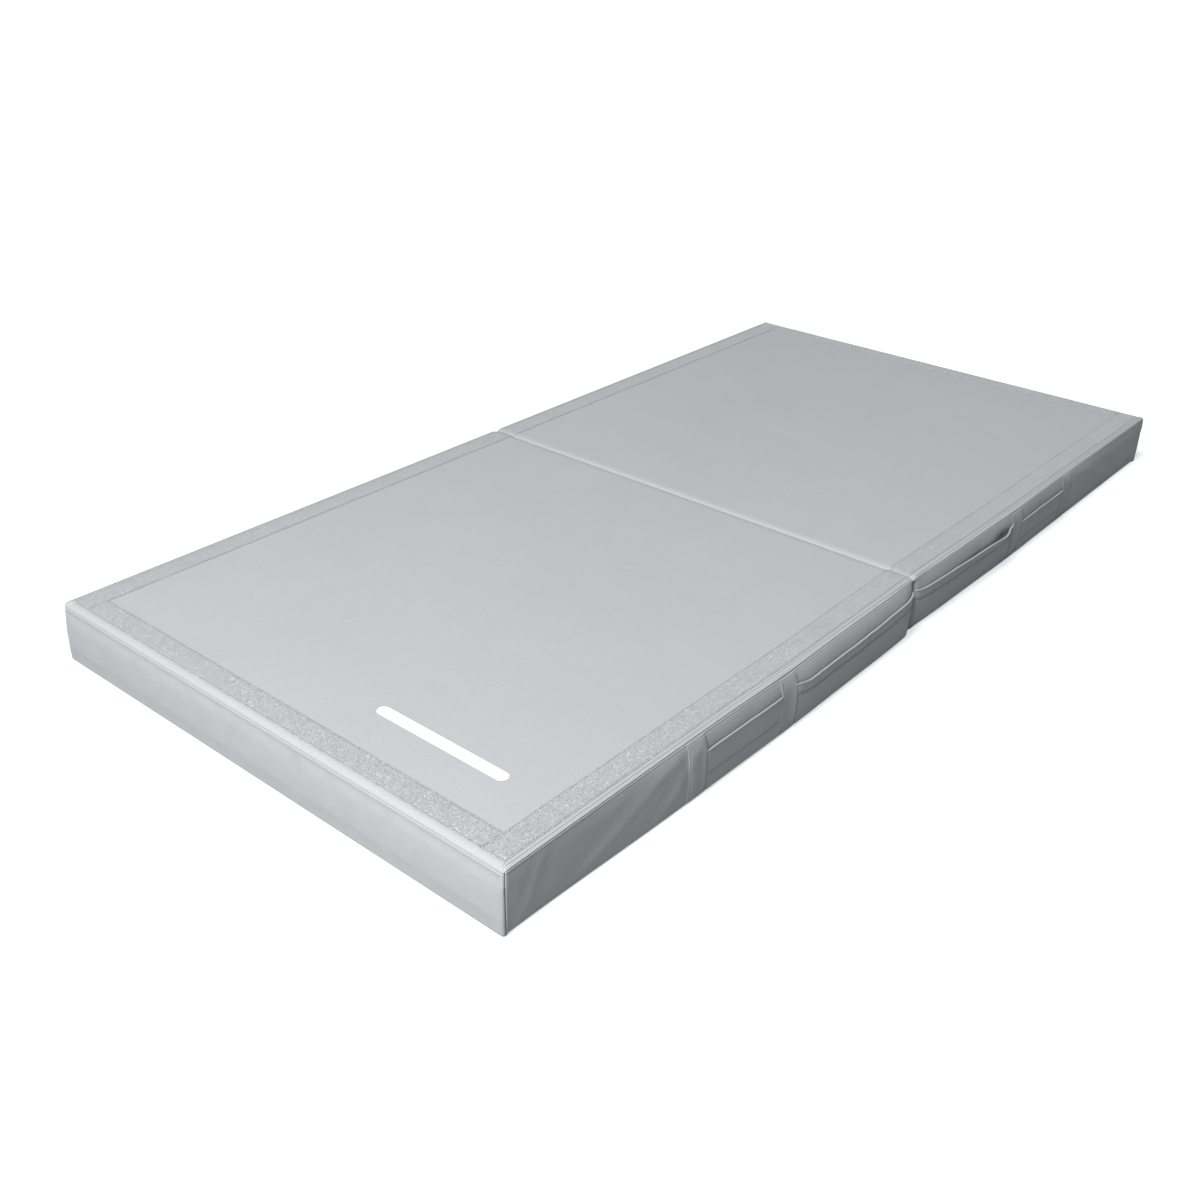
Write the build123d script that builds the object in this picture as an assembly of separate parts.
"""Two-panel folding gym mat: foam cores in sewn covers, hinged along the middle of the top face.

Frame: X runs along the open mat, Y across it and Z up. The origin is on the floor under the middle
of the fold. The left panel lies at negative X and the right panel at positive X. The pockets are on
the front face (negative Y) and each panel's zip is on its back face. Millimetres throughout.

A panel is drawn once with its fold end near x = 0 and its far end at positive X. The right panel
keeps that place, and the left panel is its mirror image.
"""

from build123d import *
import os

os.makedirs("parts", exist_ok=True)

# ---- driving dimensions ----------------------------------------------------------------------
MAT_LENGTH = 1829.0  # open, six feet
MAT_WIDTH = 914.0  # three feet
MAT_HEIGHT = 97.0  # floor to the top cover's face
COVER = 1.0  # coated cover fabric
FOLD_GAP = 1.2  # between the two inner end walls
CORNER_RADIUS = 6.0  # upright corners of each panel
HINGE_STRIP_WIDTH = 12.0  # each half of the strip that joins the covers over the fold

LOOP_TAPE_WIDTH = 38.0
LOOP_TAPE_THICKNESS = 1.5
LOOP_TAPE_MARGIN = 10.0  # from the mat's edge to the tape

SIDE_STRIP_WIDTH = 38.0  # upright strips that frame the small pocket
SIDE_STRIP_THICKNESS = 1.2
SIDE_STRIP_MARGIN = 2.0  # kept from the wall's top and bottom seams
INNER_STRIP_START = 335.0  # fold to the strip's near edge
OUTER_STRIP_START = 541.0

POCKET_FABRIC = 1.2
POCKET_BASE = 4.0  # height of the pockets' bottom seam
POCKET_SEAM = 6.0  # sewn flat along the bottom
LONG_POCKET_HEM = 67.0  # height of the mouth
LONG_POCKET_DEPTH = 9.0  # wall to patch at the mouth
SMALL_POCKET_HEM = 68.0
SMALL_POCKET_DEPTH = 7.0

ZIP_HEIGHT = 35.0  # the zip's centre line above the floor
ZIP_SLOT = 11.0  # gap between the two back walls
ZIP_TAPE_REACH = 17.0  # centre line to the tape's sewn edge
ZIP_TAPE_THICKNESS = 0.6
ZIP_ROOM = 1.0  # the core stops this far short of the back walls
ZIP_INNER_END = 45.0  # where the coil starts, from the fold
ZIP_OUTER_END = 862.0  # where the coil ends
COIL_HALF_WIDTH = 3.0
COIL_THICKNESS = 2.0
END_TAB_LENGTH = 36.0
END_TAB_OVERLAP = 5.0  # over the walls, above and below the slot

SLIDER_LENGTH = 20.0
SLIDER_HALF_WIDTH = 5.1
SLIDER_FLANGE = 1.6
SLIDER_PLATE = 1.7
SLIDER_CLEARANCE = 0.5  # from the coil
BAIL_HALF_LENGTH = 5.5
BAIL_HALF_WIDTH = 1.5
BAIL_WIRE = 1.4
PULL_BAR_RADIUS = 0.9
PULL_THICKNESS = 1.6
PULL_LENGTH = 30.0  # hinge bar to the tip
PULL_HALF_WIDTH = 4.6
PULL_EYE_HALF_WIDTH = 3.0
PULL_EYE_LENGTH = 7.4

# ---- places worked out from them ---------------------------------------------------------------
FOLD_END = FOLD_GAP / 2
FAR_END = MAT_LENGTH / 2
HALF_WIDTH = MAT_WIDTH / 2
WALL_TOP = MAT_HEIGHT - COVER
TAPE_OUTER_Y = HALF_WIDTH - LOOP_TAPE_MARGIN
TAPE_INNER_Y = TAPE_OUTER_Y - LOOP_TAPE_WIDTH
COIL_BACK = HALF_WIDTH - COVER
COIL_FACE = COIL_BACK + COIL_THICKNESS
PLATE_BACK = COIL_FACE + SLIDER_CLEARANCE
PLATE_FACE = PLATE_BACK + SLIDER_PLATE
PULL_CLEARANCE = 0.35
PULL_AXIS_Y = PLATE_FACE + PULL_CLEARANCE + PULL_BAR_RADIUS
SLIDER_PARKED = ZIP_OUTER_END - SLIDER_LENGTH / 2


def block(x, y, z):
    """A block between two limits on each axis."""
    size = [high - low for low, high in (x, y, z)]
    middle = [(low + high) / 2 for low, high in (x, y, z)]
    return Pos(*middle) * Box(*size)


def panel_slab(inset, z, back_inset=0.0):
    """A slab with the panel's plan outline, drawn in by inset on every side."""
    x = (FOLD_END + inset, FAR_END - inset)
    y = (-HALF_WIDTH + inset, HALF_WIDTH - inset - back_inset)
    slab = block(x, y, z)
    return fillet(slab.edges().filter_by(Axis.Z), CORNER_RADIUS - inset)


def wall_wedge(a, b, depth=12.0, reach=5.0):
    """A tall prism over one side of the plan, mitred at 45 degrees through both corners."""
    a = Vector(*a)
    b = Vector(*b)
    along = (b - a).normalized()
    inward = Vector(-along.Y, along.X)
    outer_a = a - (along + inward) * reach
    outer_b = b + (along - inward) * reach
    inner_b = b - (along - inward) * depth
    inner_a = a + (along + inward) * depth
    plan = make_face(Polyline(outer_a, outer_b, inner_b, inner_a, close=True))
    return extrude(plan, MAT_HEIGHT)


def walls(z):
    """The sewn band round the core, cut at the upright corner seams into its four sides."""
    band = panel_slab(0, z) - panel_slab(COVER, z)
    corners = {
        "fold_front": (FOLD_END, -HALF_WIDTH),
        "far_front": (FAR_END, -HALF_WIDTH),
        "far_back": (FAR_END, HALF_WIDTH),
        "fold_back": (FOLD_END, HALF_WIDTH),
    }
    sides = {
        "front": ("fold_front", "far_front"),
        "outer_end": ("far_front", "far_back"),
        "back": ("far_back", "fold_back"),
        "inner_end": ("fold_back", "fold_front"),
    }
    return {name: band & wall_wedge(corners[a], corners[b]) for name, (a, b) in sides.items()}


def cover_pieces():
    """Top and bottom covers, the walls and the half hinge strip."""
    full = walls((COVER, WALL_TOP))
    slot_low = ZIP_HEIGHT - ZIP_SLOT / 2
    slot_high = ZIP_HEIGHT + ZIP_SLOT / 2
    top_layer = panel_slab(0, (WALL_TOP, MAT_HEIGHT))
    strip_end = FOLD_END + HINGE_STRIP_WIDTH
    y = (-HALF_WIDTH, HALF_WIDTH)
    z = (WALL_TOP, MAT_HEIGHT)
    return {
        "top_cover": top_layer & block((strip_end, FAR_END), y, z),
        "fold_hinge_strip": top_layer & block((FOLD_END, strip_end), y, z),
        "bottom_cover": panel_slab(0, (0, COVER)),
        "front_wall": full["front"],
        "outer_end_wall": full["outer_end"],
        "inner_end_wall": full["inner_end"],
        "back_wall_upper": walls((slot_high, WALL_TOP))["back"],
        "back_wall_lower": walls((COVER, slot_low))["back"],
    }


def loop_tapes():
    """The loop tape frame on the top face."""
    end = FAR_END - LOOP_TAPE_MARGIN
    z = (MAT_HEIGHT, MAT_HEIGHT + LOOP_TAPE_THICKNESS)
    return {
        "front_loop_tape": block((FOLD_END, end), (-TAPE_OUTER_Y, -TAPE_INNER_Y), z),
        "back_loop_tape": block((FOLD_END, end), (TAPE_INNER_Y, TAPE_OUTER_Y), z),
        "end_loop_tape": block((end - LOOP_TAPE_WIDTH, end), (-TAPE_INNER_Y, TAPE_INNER_Y), z),
    }


def side_strip(start):
    """An upright strip sewn flat on the front wall."""
    y = (-HALF_WIDTH - SIDE_STRIP_THICKNESS, -HALF_WIDTH)
    z = (SIDE_STRIP_MARGIN, MAT_HEIGHT - SIDE_STRIP_MARGIN)
    return block((start, start + SIDE_STRIP_WIDTH), y, z)


def pocket(x, hem, depth):
    """A patch pocket, sewn to the front wall at its ends and bottom and open along its top hem."""
    wall = -HALF_WIDTH
    outer = [(wall, POCKET_BASE), (wall - POCKET_FABRIC, POCKET_BASE)]
    outer += [(wall - depth - POCKET_FABRIC, hem), (wall, hem)]
    overshoot = 1.2  # the cavity runs out past the mouth and into the wall's plane
    floor = POCKET_BASE + POCKET_SEAM
    slope = depth / (hem - floor)
    cavity = [(wall + overshoot, floor), (wall, floor)]
    cavity += [(wall - depth - slope * overshoot, hem + overshoot), (wall + overshoot, hem + overshoot)]
    inner_x = (x[0] + POCKET_FABRIC, x[1] - POCKET_FABRIC)
    return prism_along_x(outer, x) - prism_along_x(cavity, inner_x)


def prism_along_x(yz_points, x):
    """A prism with this outline in the Y-Z plane between two x limits."""
    outline = Polyline(*[(x[0], y, z) for y, z in yz_points], close=True)
    return extrude(make_face(outline), x[1] - x[0], dir=(1, 0, 0))


def front_fittings():
    """The strips and pockets on one panel's front wall."""
    inner = INNER_STRIP_START
    outer = OUTER_STRIP_START
    small_x = (inner + SIDE_STRIP_WIDTH, outer)
    return {
        "inner_side_strip": side_strip(inner),
        "outer_side_strip": side_strip(outer),
        "long_pocket": pocket((FOLD_END, inner), LONG_POCKET_HEM, LONG_POCKET_DEPTH),
        "small_pocket": pocket(small_x, SMALL_POCKET_HEM, SMALL_POCKET_DEPTH),
    }


def zip_chain():
    """Tapes behind the back walls, the closed coil between them and the fabric end tabs."""
    pieces = {}
    coil_x = (ZIP_INNER_END, ZIP_OUTER_END)
    tape_x = (ZIP_INNER_END - END_TAB_LENGTH, ZIP_OUTER_END + END_TAB_LENGTH)
    tape_y = (COIL_BACK - ZIP_TAPE_THICKNESS, COIL_BACK)
    for name, up in (("upper", 1), ("lower", -1)):
        tape_z = sorted((ZIP_HEIGHT, ZIP_HEIGHT + up * ZIP_TAPE_REACH))
        coil_z = sorted((ZIP_HEIGHT, ZIP_HEIGHT + up * COIL_HALF_WIDTH))
        coil = block(coil_x, (COIL_BACK, COIL_FACE), coil_z)
        rim = coil.edges().filter_by(Axis.X).sort_by(Axis.Y)[-2:]
        outer_rim = rim.sort_by(Axis.Z)[-1 if up > 0 else 0]
        pieces[f"zip_{name}_tape"] = block(tape_x, tape_y, tape_z)
        pieces[f"zip_{name}_coil"] = fillet(outer_rim, COIL_THICKNESS / 2)
    tab_half = ZIP_SLOT / 2 + END_TAB_OVERLAP
    tab_y = (HALF_WIDTH, HALF_WIDTH + COVER)
    tab_z = (ZIP_HEIGHT - tab_half, ZIP_HEIGHT + tab_half)
    gap = 0.5
    inner_x = (ZIP_INNER_END - gap - END_TAB_LENGTH, ZIP_INNER_END - gap)
    outer_x = (ZIP_OUTER_END + gap, ZIP_OUTER_END + gap + END_TAB_LENGTH)
    pieces["zip_inner_tab"] = block(inner_x, tab_y, tab_z)
    pieces["zip_outer_tab"] = block(outer_x, tab_y, tab_z)
    return pieces


def zip_slider():
    """Outer plate with a flange each side of the coil, and the bail that holds the pull."""
    x = (SLIDER_PARKED - SLIDER_LENGTH / 2, SLIDER_PARKED + SLIDER_LENGTH / 2)
    z = (ZIP_HEIGHT - SLIDER_HALF_WIDTH, ZIP_HEIGHT + SLIDER_HALF_WIDTH)
    shell = block(x, (COIL_BACK + SLIDER_CLEARANCE, PLATE_FACE), z)
    shell = fillet(shell.edges().filter_by(Axis.Y), 2.5)
    shell = fillet(shell.faces().sort_by(Axis.Y)[-1].edges(), 0.6)
    channel_half = SLIDER_HALF_WIDTH - SLIDER_FLANGE
    channel_z = (ZIP_HEIGHT - channel_half, ZIP_HEIGHT + channel_half)
    long_x = (x[0] - 1, x[1] + 1)
    shell -= block(long_x, (COIL_BACK, PLATE_BACK), channel_z)
    bail_z = (ZIP_HEIGHT - BAIL_HALF_WIDTH, ZIP_HEIGHT + BAIL_HALF_WIDTH)
    bail_x = (SLIDER_PARKED - BAIL_HALF_LENGTH, SLIDER_PARKED + BAIL_HALF_LENGTH)
    window_half = BAIL_HALF_LENGTH - BAIL_WIRE
    window_x = (SLIDER_PARKED - window_half, SLIDER_PARKED + window_half)
    window_top = PULL_AXIS_Y + PULL_BAR_RADIUS + PULL_CLEARANCE
    bail = block(bail_x, (PLATE_FACE - SLIDER_PLATE / 2, window_top + BAIL_WIRE), bail_z)
    bail = fillet(bail.edges().filter_by(Axis.Z).sort_by(Axis.Y)[-2:], 1.2)
    bail -= block(window_x, (PLATE_FACE, window_top), bail_z)
    return shell + bail


def zip_pull():
    """Flat pull tab with a square eye, whose inner bar turns under the slider's bail."""
    tip = SLIDER_PARKED - PULL_LENGTH
    y = (PULL_AXIS_Y - PULL_THICKNESS / 2, PULL_AXIS_Y + PULL_THICKNESS / 2)
    z = (ZIP_HEIGHT - PULL_HALF_WIDTH, ZIP_HEIGHT + PULL_HALF_WIDTH)
    tab = block((tip, SLIDER_PARKED), y, z)
    tab = fillet(tab.edges().filter_by(Axis.Y).sort_by(Axis.X)[:2], 3.0)
    eye_z = (ZIP_HEIGHT - PULL_EYE_HALF_WIDTH, ZIP_HEIGHT + PULL_EYE_HALF_WIDTH)
    eye_x = (SLIDER_PARKED - PULL_EYE_LENGTH, SLIDER_PARKED + 1)
    tab -= block(eye_x, (y[0] - 1, y[1] + 1), eye_z)
    bar_length = 2 * PULL_HALF_WIDTH
    bar = Pos(SLIDER_PARKED, PULL_AXIS_Y, ZIP_HEIGHT) * Cylinder(PULL_BAR_RADIUS, bar_length)
    return tab + bar


def panel():
    """Every piece of one panel, by name."""
    pieces = {"foam_core": panel_slab(COVER, (COVER, WALL_TOP), back_inset=ZIP_ROOM)}
    pieces.update(cover_pieces())
    pieces.update(loop_tapes())
    pieces.update(front_fittings())
    pieces.update(zip_chain())
    pieces["zip_slider"] = zip_slider()
    pieces["zip_pull"] = zip_pull()
    return pieces


for side in ("left", "right"):
    for name, shape in panel().items():
        if side == "left":
            shape = mirror(shape, about=Plane.YZ)
        export_step(shape, f"parts/{side}_{name}.step")
